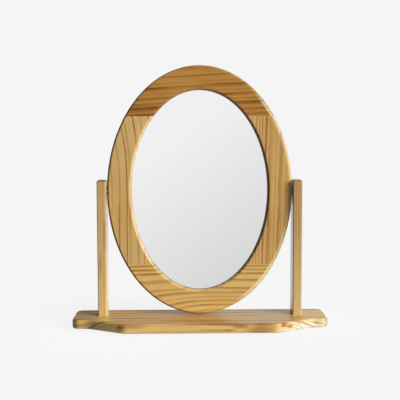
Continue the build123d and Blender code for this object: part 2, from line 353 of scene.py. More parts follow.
class TimberEffects:
    """The node groups that every wooden board shares."""

    def __init__(self) -> None:
        """Builds the groups."""
        self.rings = self.build_rings()
        self.patch = self.build_patch()
        self.lip = self.build_lip()
        self.painted_band = self.build_painted_band()
        self.surface = self.build_surface()

    def build_rings(self) -> NodeTree:
        """Builds the group that gives each point its depth from the heart of the tree.

        Returns:
            The group.
        """
        takes = {SocketKind.VECTOR: "Place",
                 SocketKind.VALUE: "Rise Ahead, Rise Behind, Arch Reach, Slope, Waver, Seed"}
        bench, given, result = open_group("timber_rings", takes, {SocketKind.VALUE: "Depth"})
        along, across, through = bench.parts(given["Place"])
        bend = BEND.nodes(bench, given["Place"], given["Seed"])
        feather = FEATHER.nodes(bench, given["Place"], given["Seed"])
        swing = bench.times(bench.math("SUBTRACT", bend, 0.5), bench.times(given["Waver"], BEND_GAIN))
        swing = bench.math("MULTIPLY_ADD", bench.math("SUBTRACT", feather, 0.5), FEATHER_GAIN, swing)
        level = bench.math("SUBTRACT", across, bench.times(along, given["Slope"]))
        level = bench.math("ADD", level, swing)
        ahead = bench.times(bench.math("MAXIMUM", along, 0.0), given["Rise Ahead"])
        behind = bench.times(bench.math("MINIMUM", along, 0.0), given["Rise Behind"])
        nearness = bench.rest(bench.math("DIVIDE", bench.math("ABSOLUTE", across), given["Arch Reach"]))
        arch = bench.times(bench.math("ADD", ahead, behind), bench.spread(nearness, 0.0, 1.0, 0.0, 1.0))
        total = bench.times(arch, arch)
        for side in (level, through):
            total = bench.math("ADD", total, bench.times(side, side))
        bench.feed(bench.math("SQRT", total), result["Depth"])
        return bench.tree

    def build_patch(self) -> NodeTree:
        """Builds the group that darkens or pales the wood softly round one place.

        Returns:
            The group.
        """
        takes = {SocketKind.VECTOR: "Place, Middle, Reach", SocketKind.VALUE: "Dark"}
        bench, given, result = open_group("timber_patch", takes, {SocketKind.VALUE: "Late Wood"})
        away = bench.vector("SUBTRACT", given["Place"], given["Middle"])
        away = bench.vector("LENGTH", bench.vector("DIVIDE", away, given["Reach"]))
        bench.feed(bench.times(bench.spread(away, *PATCH_FADE), given["Dark"]), result["Late Wood"])
        return bench.tree

    def build_lip(self) -> NodeTree:
        """Builds the group that paints shade on an oval opening's wall next to its glass, and on rounded
        edges that face left and down.

        Returns:
            The group.
        """
        takes = {SocketKind.VECTOR: "Point, Normal", SocketKind.VALUE: "Middle, Start, End, Stain"}
        bench, given, result = open_group("timber_lip", takes, {SocketKind.VALUE: "Clean"})
        across, through, up = bench.parts(given["Point"])
        out = bench.joined(across, 0.0, bench.math("SUBTRACT", up, given["Middle"]))
        out = bench.vector("DOT_PRODUCT", bench.vector("NORMALIZE", out), given["Normal"])
        # Painted shade on the wall deep in the opening, next to the glass.
        deep = bench.spread(through, given["Start"], given["End"], 0.0, LIP_SHADE)
        lip_shade = bench.times(deep, bench.spread(out, *LIP_FACING))
        # Painted shade on rounded edges that face left and down.
        turned = bench.spread(bench.vector("DOT_PRODUCT", given["Normal"], SHADED_SIDE), *SHADED_FACING)
        square = bench.math("ABSOLUTE", bench.parts(given["Normal"])["Y"])
        edge_shade = bench.times(bench.times(turned, given["Stain"]), bench.spread(square, *OFF_EDGE))
        bench.feed(bench.times(bench.rest(lip_shade), bench.rest(edge_shade)), result["Clean"])
        return bench.tree

    def build_painted_band(self) -> NodeTree:
        """Builds the group that finds the band of an oval outline, along its right side, that takes a
        painted highlight.

        Returns:
            The group.
        """
        takes = {SocketKind.VECTOR: "Point, Middle, Half Size"}
        bench, given, result = open_group("timber_painted_band", takes, {SocketKind.VALUE: "Rubbed"})
        away = bench.vector("SUBTRACT", given["Point"], given["Middle"])
        away = bench.vector("MULTIPLY", away, IN_FACE)
        oval = bench.vector("LENGTH", bench.vector("DIVIDE", away, given["Half Size"]))
        near = bench.vector("DOT_PRODUCT", bench.vector("NORMALIZE", away), BAND_TOWARD)
        rubbed = bench.times(bench.spread(oval, *BAND_INNER), bench.spread(oval, *BAND_OUTER))
        bench.feed(bench.times(rubbed, bench.spread(near, *BAND_SIDE)), result["Rubbed"])
        return bench.tree

    def build_surface(self) -> NodeTree:
        """Builds the group that colours pine from its rings and fibres.

        Returns:
            The group.
        """
        takes = {SocketKind.VECTOR: "Place, Facing", SocketKind.COLOUR: "Early Colour, Late Colour",
                 SocketKind.VALUE: "Depth, Late Wood, Patches, Clean, Worn, Rubbed, Seed"}
        gives = {SocketKind.COLOUR: "Colour", SocketKind.VALUE: "Roughness, Height, Polish"}
        bench, given, result = open_group("timber_surface", takes, gives)
        place, seed = given["Place"], given["Seed"]
        endwise, crosswise, square = bench.parts(given["Facing"])
        ringwise = bench.joined(bench.parts(place)[0], given["Depth"])
        drift = DRIFT.nodes(bench, ringwise, seed)
        streak, fibre, canal, blotch = (figure.nodes(bench, place, seed)
                                        for figure in (STREAK, FIBRE, CANAL, BLOTCH))
        fine = bench.math("ADD", given["Depth"], bench.times(streak, FINE_WANDER))
        fine = bench.math("PINGPONG", fine, FINE_RING)
        late = bench.times(given["Late Wood"], bench.spread(drift, *DRIFT_LATE))
        late = bench.math("ADD", late, bench.math("MAXIMUM", given["Patches"], 0.0))
        late = bench.times(late, bench.spread(streak, *STREAK_LATE))
        late = bench.math("ADD", late, bench.times(fine, FINE_DARK))
        late = bench.math("ADD", late, bench.spread(blotch, *BLOTCH_LATE))
        # Patches below zero pale the wood towards pale sapwood with a painted highlight.
        pale = bench.blend(bench.times(given["Patches"], -1.0), given["Early Colour"], SAPWOOD_AND_HIGHLIGHT.light())
        wood = bench.blend(late, pale, given["Late Colour"])
        square = bench.math("ABSOLUTE", square)
        rounded = bench.times(bench.spread(square, *OFF_EDGE), bench.spread(square, *OFF_FACE))
        # Rounded edges that face right or up, and the band along the oval's right, are painted paler as
        # painted highlights.
        worn = bench.times(given["Worn"], bench.spread(crosswise, *EDGE_HIGHLIGHT_FACING))
        rubbed = bench.times(given["Rubbed"], bench.spread(streak, *STREAK_IN_BAND))
        wood = bench.blend(bench.math("MULTIPLY_ADD", rounded, worn, rubbed), wood, HIGHLIGHT_CREAM.light())
        tone = bench.math("ADD", bench.spread(fibre, *FIBRE_TONE), bench.spread(streak, *STREAK_TONE))
        tone = bench.math("SUBTRACT", tone, bench.spread(canal, *CANAL_TONE))
        # The lip's wall and the edges that face left and down take painted shade here.
        tone = bench.times(tone, given["Clean"])
        tone = bench.times(tone, bench.spread(bench.math("ABSOLUTE", endwise), *END_TONE))
        bench.feed(bench.blend(1.0, wood, bench.grey(tone), "MULTIPLY"), result["Colour"])
        bench.feed(bench.spread(fibre, *FIBRE_ROUGHNESS), result["Roughness"])
        height = bench.math("SUBTRACT", fibre, bench.times(canal, CANAL_DEPTH))
        bench.feed(bench.math("SUBTRACT", height, bench.times(late, LATE_DEPTH)), result["Height"])
        bench.feed(rounded, result["Polish"])
        return bench.tree


@dataclass(frozen=True)
class Ring:
    """A dark late-season ring where it crosses the board's face, or an edge below the face.

    Attributes:
        at: Place across the face, in mm of the part's frame.
        width: Width of the band there, in mm.
        dark: Strength, 0 to 1.
        below: How far below the face it crosses the edge, in mm, or zero on the face.
    """

    at: float
    width: float
    dark: float
    below: float = 0.0


@dataclass(frozen=True)
class Patch:
    """A soft patch of darker wood or of painted shade, or of pale sapwood with a painted highlight.

    Attributes:
        middle: Its middle along, across and through the board, in mm of the part's frame.
        reach: How far it reaches along, across and through, in mm.
        dark: Strength, below zero where it is paler. Patches that overlap add up.
    """

    middle: tuple[float, float, float]
    reach: tuple[float, float, float]
    dark: float


FRAME_BOARDS = ("frame_top_rail", "frame_bottom_rail", "frame_left_stile", "frame_right_stile")
OPENING_MIDDLE = sum(corner.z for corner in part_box("mirror_glass")) / 2 * PER_METRE
OVAL_HALF = (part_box("frame_right_stile")[1].x, 1.0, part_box("frame_top_rail")[1].z - OPENING_MIDDLE * MM)

# Painted shade on the lip comes in between these depths behind the frame's face, in mm.
LIP_START = 5.0
LIP_END = 6.5

# Where a ring is darkest across its width, and the surface under and in the lacquer, its relief in mm.
RING_PEAK = 0.84
GRAIN_BUMP = 0.12
GRAIN_RELIEF = 0.4
UNDER_LACQUER = 0.12
LACQUER_IOR = 1.5


@dataclass(frozen=True)
class PineBoard:
    """Lacquered pine of one board: how the tree's rings pass through it, and its colours.

    Attributes:
        name: Name of the finish.
        grain: How the board lies.
        heart: Middle of the rings along, across and through the board, in mm.
        face: Place of the board's main face through the board, in mm.
        rings: Dark rings across that face.
        early: Colour of the pale wood.
        late: Colour of the dark rings.
        rise_ahead: How fast the rings close in ahead of the heart.
        rise_behind: The same behind the heart.
        arch_reach: Distance from the heart at which the rings run straight, in mm.
        slope: Lean of the rings along the board.
        waver: Sideways wandering of the rings, in mm.
        seed: Which timber it is cut from.
        lacquer: Strength of the lacquer's gloss on the flat faces; it is full on rounded edges.
        lacquer_blur: Softness of the lacquer's gloss.
        patches: Patches of darker or paler wood.
        worn: How far the rounded edges that face right or up are painted pale, as a painted highlight.
        rubbed: How far the band along the right of the oval outline is painted pale, as a painted
            highlight.
        shaded_edges: How far the rounded edges that face left and down are darkened, as painted shade.
        round_glass: Whether the board is one of those round the glass.
    """

    name: str
    grain: Grain
    heart: tuple[float, float, float]
    face: float
    rings: tuple[Ring, ...]
    early: Shade
    late: Shade
    rise_ahead: float = 0.0
    rise_behind: float = 0.0
    arch_reach: float = 400.0
    slope: float = 0.0
    waver: float = 1.0
    seed: float = 0.0
    lacquer: float = 0.35
    lacquer_blur: float = 0.36
    patches: tuple[Patch, ...] = ()
    worn: float = 0.0
    rubbed: float = 0.0
    shaded_edges: float = 0.0
    round_glass: bool = False

    def depth(self, ring: Ring, shift: float) -> float:
        """Works out how deep a ring lies.

        Args:
            ring: The ring.
            shift: Distance from its middle, across the face or down the edge, in mm.

        Returns:
            The distance from the heart, in mm.
        """
        _, across, through = self.heart
        if ring.below:
            return math.hypot(ring.at - across, self.face - ring.below + shift - through)
        return math.hypot(ring.at + shift - across, self.face - through)

    def chart(self) -> list[tuple[float, float]]:
        """Lists how dark the wood is by its depth from the heart.

        Returns:
            Depths in mm and darkness, in order of depth.
        """
        steps = []
        for ring in self.rings:
            near, far = sorted(self.depth(ring, side * ring.width / 2) for side in (-1, 1))
            steps += [(near, 0.0), (near + RING_PEAK * (far - near), ring.dark), (far, 0.0)]
        return sorted(steps)

    def material(self, effects: TimberEffects) -> Material:
        """Builds the material.

        Args:
            effects: The shared timber groups.

        Returns:
            The material.
        """
        bench, end, material = open_material(self.name)
        guide = bench.add("ShaderNodeTexCoord").outputs
        axes, normal = bench.parts(guide["Object"]), bench.parts(guide["Normal"])
        place = bench.joined(*(bench.math("MULTIPLY_ADD", axes[axis], PER_METRE, -middle)
                               for axis, middle in zip(self.grain.value, self.heart)))
        facing = bench.joined(*(normal[axis] for axis in self.grain.value))
        depth = bench.group(effects.rings, {
            "Place": place, "Rise Ahead": self.rise_ahead, "Rise Behind": self.rise_behind,
            "Arch Reach": self.arch_reach, "Slope": self.slope, "Waver": self.waver,
            "Seed": self.seed})["Depth"]
        unshaded, rubbed = self.edge_nodes(bench, guide, effects)
        surface = bench.group(effects.surface, {
            "Place": place, "Depth": depth, "Late Wood": self.ring_nodes(bench, depth),
            "Patches": self.patch_nodes(bench, place, effects), "Facing": facing, "Clean": unshaded,
            "Worn": self.worn, "Rubbed": rubbed,
            "Early Colour": self.early.light(), "Late Colour": self.late.light(), "Seed": self.seed})
        bump = bench.add("ShaderNodeBump", {"Strength": GRAIN_BUMP, "Distance": GRAIN_RELIEF * MM,
                                            "Height": surface["Height"]})
        gloss = bench.math("MULTIPLY_ADD", surface["Polish"], 1.0 - self.lacquer, self.lacquer)
        finish_material(self.name, bench, end, {
            "Base Color": surface["Colour"], "Roughness": surface["Roughness"], "Normal": bump.outputs[0],
            "Specular IOR Level": UNDER_LACQUER, "Coat Weight": bench.times(gloss, unshaded),
            "Coat Roughness": self.lacquer_blur, "Coat IOR": LACQUER_IOR})
        return material

    def ring_nodes(self, bench: NodeBench, depth: Feed) -> NodeSocket:
        """Draws the dark rings.

        Args:
            bench: Where the nodes go.
            depth: Depth from the heart.

        Returns:
            How dark they make the wood.
        """
        steps = self.chart()
        first, last = steps[0][0], steps[-1][0]
        share = bench.math("DIVIDE", bench.math("SUBTRACT", depth, first), last - first)
        stops = [((deep - first) / (last - first), dark) for deep, dark in steps]
        return bench.ramp(bench.math("FRACT", share), stops)

    def patch_nodes(self, bench: NodeBench, place: Feed, effects: TimberEffects) -> Feed:
        """Adds up the patches.

        Args:
            bench: Where the nodes go.
            place: Place in the board, from the heart.
            effects: The shared timber groups.

        Returns:
            How dark they make the wood, or below zero how pale.
        """
        total: Feed = 0.0
        for patch in self.patches:
            middle = tuple(at - heart for at, heart in zip(patch.middle, self.heart))
            feeds = {"Place": place, "Middle": middle, "Reach": patch.reach, "Dark": patch.dark}
            total = bench.math("ADD", total, bench.group(effects.patch, feeds)["Late Wood"])
        return total

    def edge_nodes(self, bench: NodeBench, guide: Sockets, effects: TimberEffects) -> tuple[Feed, Feed]:
        """Paints shade on the lip next to the glass and on rounded edges that face left and down, and finds
        the band that takes a painted highlight.

        Args:
            bench: Where the nodes go.
            guide: Place and facing on the piece.
            effects: The shared timber groups.

        Returns:
            One where no shade is painted and less where it is, and how far the band is painted pale as a
            highlight.
        """
        if not self.round_glass:
            return 1.0, 0.0
        lip = bench.group(effects.lip, {
            "Point": guide["Object"], "Normal": guide["Normal"], "Middle": OPENING_MIDDLE * MM,
            "Start": (self.face + LIP_START) * MM, "End": (self.face + LIP_END) * MM,
            "Stain": self.shaded_edges})
        if not self.rubbed:
            return lip["Clean"], 0.0
        middle = (0.0, 0.0, OPENING_MIDDLE * MM)
        feeds = {"Point": guide["Object"], "Middle": middle, "Half Size": OVAL_HALF}
        return lip["Clean"], bench.times(bench.group(effects.painted_band, feeds)["Rubbed"], self.rubbed)


CLOUD_SIZE = 22.0
CLOUD_SEED = 6.0
MOTTLE_RANGE = (0.3, 0.7)
MOTTLE_SHARE = (0.3, 0.7, 0.0, 0.7)
CLOUD_SHARE = (0.35, 0.7, -0.15, 0.3)
RELIEF_BUMP = 0.5


@dataclass(frozen=True)
class PlainFinish:
    """A finish of one substance, with mottling, clouds and a fine relief.

    Attributes:
        name: Name of the finish.
        colour: Main colour.
        mottle: Colour of the mottling.
        metal: One for bare metal, else zero.
        roughness: Least and greatest roughness.
        grain: Size of the mottling, in mm.
        relief: Height of the relief, in mm.
    """

    name: str
    colour: Shade
    mottle: Shade
    metal: float
    roughness: tuple[float, float]
    grain: float
    relief: float

    def material(self) -> Material:
        """Builds the material.

        Returns:
            The material.
        """
        bench, end, material = open_material(self.name)
        guide = bench.add("ShaderNodeTexCoord").outputs["Object"]
        pitch = PER_METRE / self.grain
        broad = pitch / CLOUD_SIZE
        mottle = Figure((pitch, pitch, pitch), detail=4.0, roughness=0.6).nodes(bench, guide, 0.0)
        cloud = Figure((broad, broad, broad), detail=3.0, roughness=0.6).nodes(bench, guide, CLOUD_SEED)
        share = bench.math("ADD", bench.spread(mottle, *MOTTLE_SHARE), bench.spread(cloud, *CLOUD_SHARE))
        relief = {"Strength": RELIEF_BUMP, "Distance": self.relief * MM, "Height": mottle}
        finish_material(self.name, bench, end, {
            "Base Color": bench.blend(share, self.colour.light(), self.mottle.light()),
            "Metallic": self.metal, "Roughness": bench.spread(mottle, *MOTTLE_RANGE, *self.roughness),
            "Normal": bench.add("ShaderNodeBump", relief).outputs[0]})
        return material


TOP_RAIL = PineBoard(
    name="lacquered_pine_top_rail", grain=Grain.LEVEL, heart=(0, 300, 110), face=16, slope=0.06, waver=1.2,
    seed=11.3, early=Shade(184, 134, 64), late=Shade(124, 72, 12),
    worn=0.04, rubbed=0.62, shaded_edges=0.4, round_glass=True,
    rings=(Ring(437, 9, 0.85), Ring(450, 12, 1.0), Ring(459.5, 6, 0.8), Ring(469, 10, 0.9),
           Ring(478.5, 6, 0.4), Ring(488.5, 12, 0.95), Ring(498, 6, 0.35), Ring(511, 6, 0.8),
           Ring(525, 12, 0.55)),
    patches=(Patch((-125, 442, 16), (70, 20, 24), 0.35), Patch((125, 452, 16), (55, 24, 24), 0.15)))

BOTTOM_RAIL = PineBoard(
    name="lacquered_pine_bottom_rail", grain=Grain.LEVEL, heart=(30, 5, 40), face=16, rise_ahead=0.2,
    rise_behind=0.36, arch_reach=170, waver=1.2, seed=4.1, early=Shade(218, 183, 112),
    late=Shade(154, 104, 38), worn=0.05, rubbed=0.85, shaded_edges=0.78, round_glass=True,
    rings=(Ring(30, 7, 0.6), Ring(40.5, 7, 0.8), Ring(49, 7, 0.8), Ring(57, 6, 0.4), Ring(66, 8, 0.9),
           Ring(75, 7, 0.75), Ring(91, 9, 0.8), Ring(105.5, 6, 1.0), Ring(113.5, 6, 1.0),
           Ring(121, 6, 0.9)))

LEFT_STILE = PineBoard(
    name="lacquered_pine_left_stile", grain=Grain.UPRIGHT, heart=(300, -215, 50), face=16, rise_ahead=0.36,
    waver=0.9, seed=8.6, early=Shade(215, 180, 115), late=Shade(150, 100, 42),
    worn=0.18, shaded_edges=0.8, round_glass=True,
    rings=(Ring(-187, 4, 0.35), Ring(-180, 4, 0.5), Ring(-164.5, 4.5, 0.8), Ring(-149, 5, 1.0),
           Ring(-143, 8, 0.45), Ring(-126.5, 5, 0.95), Ring(-114, 4, 0.6), Ring(-98.5, 5, 0.8)),
    patches=(Patch((250, -160, 16), (150, 75, 50), 0.22),))

RIGHT_STILE = PineBoard(
    name="lacquered_pine_right_stile", grain=Grain.UPRIGHT, heart=(277, 330, 80), face=16, slope=0.03,
    waver=1.1, seed=15.2, early=Shade(211, 171, 105), late=Shade(146, 98, 38),
    worn=0.03, rubbed=0.36, shaded_edges=0.72, round_glass=True,
    rings=(Ring(106, 4, 0.7), Ring(113, 4, 0.75), Ring(119, 4, 0.7), Ring(125, 4, 0.65),
           Ring(133.5, 7, 1.0), Ring(145, 14, 0.6), Ring(155, 5, 0.5), Ring(167, 14, 0.7),
           Ring(178, 8, 0.5), Ring(187.5, 5, 0.4)),
    patches=(Patch((395, 150, 16), (75, 60, 40), 0.16),))

LEFT_POST = PineBoard(
    name="lacquered_pine_left_post", grain=Grain.UPRIGHT, heart=(120, -260, 40), face=4, rise_ahead=0.05,
    rise_behind=0.08, waver=0.8, seed=21.7, early=Shade(216, 181, 116), late=Shade(158, 108, 48),
    lacquer=0.9, lacquer_blur=0.1,
    rings=(Ring(-209, 4, 0.3), Ring(-203, 4, 0.3), Ring(-197, 4, 0.35), Ring(-188, 4, 0.4)),
    # The first patch darkens the post towards its top: painted shade.
    patches=(Patch((300, -200, 20), (260, 120, 120), 0.36), Patch((190, -193, 4), (50, 5, 15), 0.4),
             Patch((125, -204, 4), (35, 5, 15), 0.35)))

RIGHT_POST = PineBoard(
    name="lacquered_pine_right_post", grain=Grain.UPRIGHT, heart=(200, 290, 60), face=4, rise_ahead=0.04,
    rise_behind=0.04, waver=0.7, seed=27.4, early=Shade(214, 183, 122), late=Shade(160, 118, 58),
    lacquer=0.9, lacquer_blur=0.1,
    rings=(Ring(191, 4, 0.25), Ring(197, 4, 0.25), Ring(204, 5, 0.3), Ring(210, 4, 0.3)),
    # This patch darkens the post towards its top: painted shade.
    patches=(Patch((310, 200, 20), (260, 120, 120), 0.56),))

BASE_BOARD = PineBoard(
    name="lacquered_pine_base", grain=Grain.FLAT, heart=(0, -76, -40), face=20.5, rise_ahead=0.12,
    rise_behind=0.12, waver=4.0, seed=33.9, early=Shade(234, 195, 119), late=Shade(158, 107, 52),
    lacquer=0.7, lacquer_blur=0.26,
    rings=(Ring(-71, 5, 0.35, 15.0), Ring(-71, 4, 0.3, 2.5), Ring(-57, 5, 0.9), Ring(-41, 9, 1.0),
           Ring(-30, 5, 0.5), Ring(-15, 8, 0.9), Ring(-5, 4, 0.6), Ring(11, 6, 1.0), Ring(33, 11, 0.8),
           Ring(55, 8, 1.0)),
    patches=(Patch((-138, -71, 17), (48, 9, 9), 0.45), Patch((28, -71, 7.5), (50, 9, 4), 0.45),
             Patch((56, -71, 8), (20, 9, 4), 0.5), Patch((78, -71, 15), (24, 9, 7), 0.75),
             Patch((50, -71, 19), (60, 9, 6), 0.5), Patch((120, -71, 9), (44, 10, 14), 0.8),
             Patch((122, -71, 20.5), (55, 9, 5), 0.8), Patch((10, -71, 21), (110, 9, 4), 0.6),
             Patch((0, 0, 20.5), (420, 200, 6), 0.17), Patch((0, -45, 20.5), (90, 30, 6), 0.3),
             # These two darken the left end's top and front: painted shadow from the left post on the top,
             # and from the base's jutting front on the end's front face.
             Patch((-255, 5, 20.5), (55, 90, 7), 0.3), Patch((-250, -32, 6), (85, 34, 17), 0.45),
             Patch((166, -63, 16), (13, 12, 8), 1.0), Patch((179, -56, 11), (12, 12, 7), 1.3),
             Patch((196, -38, 15), (8, 14, 6), 1.2), Patch((-158, -66, 12), (16, 10, 9), 0.8),
             # The last patch pales the right end: pale sapwood with a painted highlight.
             Patch((234, -28, 12), (8, 10, 4), 1.2), Patch((215, -45, 6), (85, 65, 18), -1.2)))

PIVOT_PLUG = PineBoard(
    name="lacquered_pine_plug", grain=Grain.CROSSWISE, heart=(26, 200, 0), face=209.5, waver=0.4, seed=41.2,
    early=Shade(168, 118, 64), late=Shade(134, 86, 42), lacquer=0.9, lacquer_blur=0.1,
    rings=(Ring(270, 3, 0.8), Ring(275, 3, 0.7), Ring(280, 3, 0.9), Ring(285, 3, 0.7)))

HARDBOARD = PlainFinish(
    "brown_hardboard", Shade(128, 92, 58), Shade(104, 72, 43), metal=0.0, roughness=(0.55, 0.75),
    grain=1.6, relief=0.05)
FELT = PlainFinish(
    "pressed_felt", Shade(70, 52, 38), Shade(48, 34, 24), metal=0.0, roughness=(0.95, 1.0),
    grain=0.5, relief=0.25)
ZINC_STEEL = PlainFinish(
    "zinc_plate", Shade(198, 198, 194), Shade(180, 181, 180), metal=1.0, roughness=(0.22, 0.36),
    grain=0.8, relief=0.01)
BRASS = PlainFinish(
    "turned_brass", Shade(214, 172, 96), Shade(196, 150, 76), metal=1.0, roughness=(0.2, 0.34),
    grain=0.8, relief=0.01)
NYLON = PlainFinish(
    "natural_nylon", Shade(236, 232, 218), Shade(226, 221, 205), metal=0.0, roughness=(0.4, 0.5),
    grain=1.0, relief=0.01)
BEECH = PlainFinish(
    "raw_beech", Shade(206, 172, 132), Shade(184, 146, 104), metal=0.0, roughness=(0.6, 0.7),
    grain=0.9, relief=0.05)


@dataclass(frozen=True)
class SilveredGlass:
    """Back-silvered mirror glass with a faint haze from wiping.

    Attributes:
        name: Name of the finish.
        silver: Tint of the reflection.
        veil: Tint of the wiped patches.
        veiled: Share of that tint where they are strongest.
        haze: Least and greatest blur of the reflection.
        smear: Size of the wiped patches, in mm.
        drawn: How much less often they change upwards than sideways.
        wiped: Range over which a patch comes in.
        seed: Which patches they are.
    """

    name: str = "back_silvered_glass"
    silver: Shade = Shade(251, 250, 251)
    veil: Shade = Shade(225, 226, 226)
    veiled: float = 0.03
    haze: tuple[float, float] = (0.0005, 0.003)
    smear: float = 60.0
    drawn: float = 0.4
    wiped: tuple[float, float] = (0.3, 0.8)
    seed: float = 2.0

    def material(self) -> Material:
        """Builds the material.

        Returns:
            The material.
        """
        bench, end, material = open_material(self.name)
        guide = bench.add("ShaderNodeTexCoord").outputs["Object"]
        pitch = PER_METRE / self.smear
        figure = Figure((pitch, pitch, pitch * self.drawn), detail=3.0, roughness=0.6)
        patches = figure.nodes(bench, guide, self.seed)
        share = bench.spread(patches, *self.wiped, 0.0, self.veiled)
        finish_material(self.name, bench, end, {
            "Base Color": bench.blend(share, self.silver.light(), self.veil.light()), "Metallic": 1.0,
            "Roughness": bench.spread(patches, *self.wiped, *self.haze)})
        return material


def dress(nodes: tuple[str, ...], material: Material) -> None:
    """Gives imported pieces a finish.

    Args:
        nodes: Names of the pieces.
        material: Their finish.
    """
    for name in nodes:
        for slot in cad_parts[name].material_slots:
            slot.material = material
        LOG.info("%s dressed in %s", name, material.name)


def add_piece(name: str, shape: bmesh.types.BMesh, material: Material) -> bpy.types.Object:
    """Turns a finished shape into a piece of the scene.

    Args:
        name: The piece's name.
        shape: Its shape, which is used up.
        material: Its finish.

    Returns:
        The piece.
    """
    mesh = bpy.data.meshes.new(name)
    shape.to_mesh(mesh)
    shape.free()
    mesh.materials.append(material)
    piece = bpy.data.objects.new(name, mesh)
    bpy.context.scene.collection.objects.link(piece)
    LOG.info("%s modelled in %s", name, material.name)
    return piece


def both_sides(name: str) -> tuple[str, str]:
    """Returns the left and the right piece of a pair."""
    return f"left_{name}", f"right_{name}"


@dataclass
class Stand:
    """The base board, the posts and the pads that they stand on.

    Attributes:
        effects: The shared timber groups.
        pad_round: Rounding of a pad's edges, in mm.
        pad_steps: Steps in that rounding.
        pad_sides: Steps round a pad.
        pad_rings: Steps from a pad's rim to its middle.
        rim_angle: Least angle between the faces at a pad's rim, in radians.
        fray: Middle and swing of how far wear takes a pad's edge in, in mm.
        fray_pitch: How often that changes, per mm.
        level: Least upward part of a face's normal on a pad's flat.
    """

    effects: TimberEffects
    pad_round: float = 0.45
    pad_steps: int = 3
    pad_sides: int = 56
    pad_rings: int = 5
    rim_angle: float = 1.0
    fray: tuple[float, float] = (0.12, 0.1)
    fray_pitch: float = 0.6
    level: float = 0.99

    def build(self) -> None:
        """Models the felt pads under the base."""
        shape = bmesh.new()
        points = [point.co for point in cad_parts["felt_pads"].data.vertices]
        for side, end in itertools.product((-1, 1), repeat=2):
            corners = [point for point in points if point.x * side > 0 and point.y * end > 0]
            low = Vector([min(corner[axis] for corner in corners) for axis in range(3)])
            high = Vector([max(corner[axis] for corner in corners) for axis in range(3)])
            middle = Matrix.Translation(((low.x + high.x) / 2, (low.y + high.y) / 2, low.z))
            radius = (high.x - low.x) / 2
            bmesh.ops.create_circle(shape, cap_ends=True, radius=radius, segments=self.pad_sides,
                                    matrix=middle)
        self.press_pads(shape, high.z - low.z, radius)
        pads = add_piece("pressed_felt_pads", shape, FELT.material())
        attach(pads, "stand")
        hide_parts("felt_pads")

    def press_pads(self, shape: bmesh.types.BMesh, thickness: float, radius: float) -> None:
        """Raises discs into pads of pressed felt, cut a little unevenly, with their edges rounded by wear.

        Args:
            shape: The flat discs.
            thickness: How thick they become, in metres.
            radius: Their radius, in metres.
        """
        raised = bmesh.ops.extrude_face_region(shape, geom=shape.faces[:], use_keep_orig=True)["geom"]
        points = [item for item in raised if isinstance(item, bmesh.types.BMVert)]
        bmesh.ops.translate(shape, verts=points, vec=(0.0, 0.0, thickness))
        bmesh.ops.recalc_face_normals(shape, faces=shape.faces)
        rims = [edge for edge in shape.edges if edge.calc_face_angle(0.0) > self.rim_angle]
        bmesh.ops.bevel(shape, geom=rims, offset=self.pad_round * MM, segments=self.pad_steps, profile=0.5,
                        affect="EDGES", material=-1)
        flats = [face for face in shape.faces if len(face.verts) > 4]
        middles = [face.calc_center_median() for face in flats]
        worn = {point for face in shape.faces if len(face.verts) <= 4 for point in face.verts}
        least, swing = self.fray
        for point in worn:
            middle = min(middles, key=lambda spot: (spot - point.co).length)
            inward = Vector((middle.x - point.co.x, middle.y - point.co.y, 0.0)).normalized()
            uneven = noise.noise(point.co * PER_METRE * self.fray_pitch)
            point.co += inward * (least + swing * uneven) * MM
        for _ in range(self.pad_rings):
            bmesh.ops.inset_individual(shape, faces=flats, thickness=radius / (self.pad_rings + 2))
        for face in shape.faces:
            face.smooth = abs(face.normal.z) < self.level

    def dress(self) -> None:
        """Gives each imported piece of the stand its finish."""
        dress(("base_board",), BASE_BOARD.material(self.effects))
        dress(("left_post",), LEFT_POST.material(self.effects))
        dress(("right_post",), RIGHT_POST.material(self.effects))
        dress(both_sides("pivot_plug"), PIVOT_PLUG.material(self.effects))


@dataclass
class SwingFrame:
    """The four boards round the glass and their dowels.

    Attributes:
        effects: The shared timber groups.
    """

    effects: TimberEffects

    def dress(self) -> None:
        """Gives each board of the frame its own timber."""
        for name, board in zip(FRAME_BOARDS, (TOP_RAIL, BOTTOM_RAIL, LEFT_STILE, RIGHT_STILE)):
            dress((name,), board.material(self.effects))
        dowels = tuple(f"{level}_{name}" for level in ("upper", "lower") for name in both_sides("dowels"))
        dress(dowels, BEECH.material())


@dataclass
class Glazing:
    """The mirror glass and the board that holds it in."""

    def dress(self) -> None:
        """Gives the glass and its back their finishes."""
        dress(("mirror_glass",), SilveredGlass().material())
        dress(("backing_board",), HARDBOARD.material())


@dataclass
class Hardware:
    """Screws, pivot bolts, sleeves, inserts and washers."""

    def dress(self) -> None:
        """Gives each metal and nylon piece its finish."""
        steel = ("backing_screws", *both_sides("post_screws"), *both_sides("head_washer"),
                 *both_sides("pivot_bolt"))
        dress(steel, ZINC_STEEL.material())
        dress((*both_sides("pivot_insert"), *both_sides("pivot_sleeve")), BRASS.material())
        dress(both_sides("friction_washer"), NYLON.material())


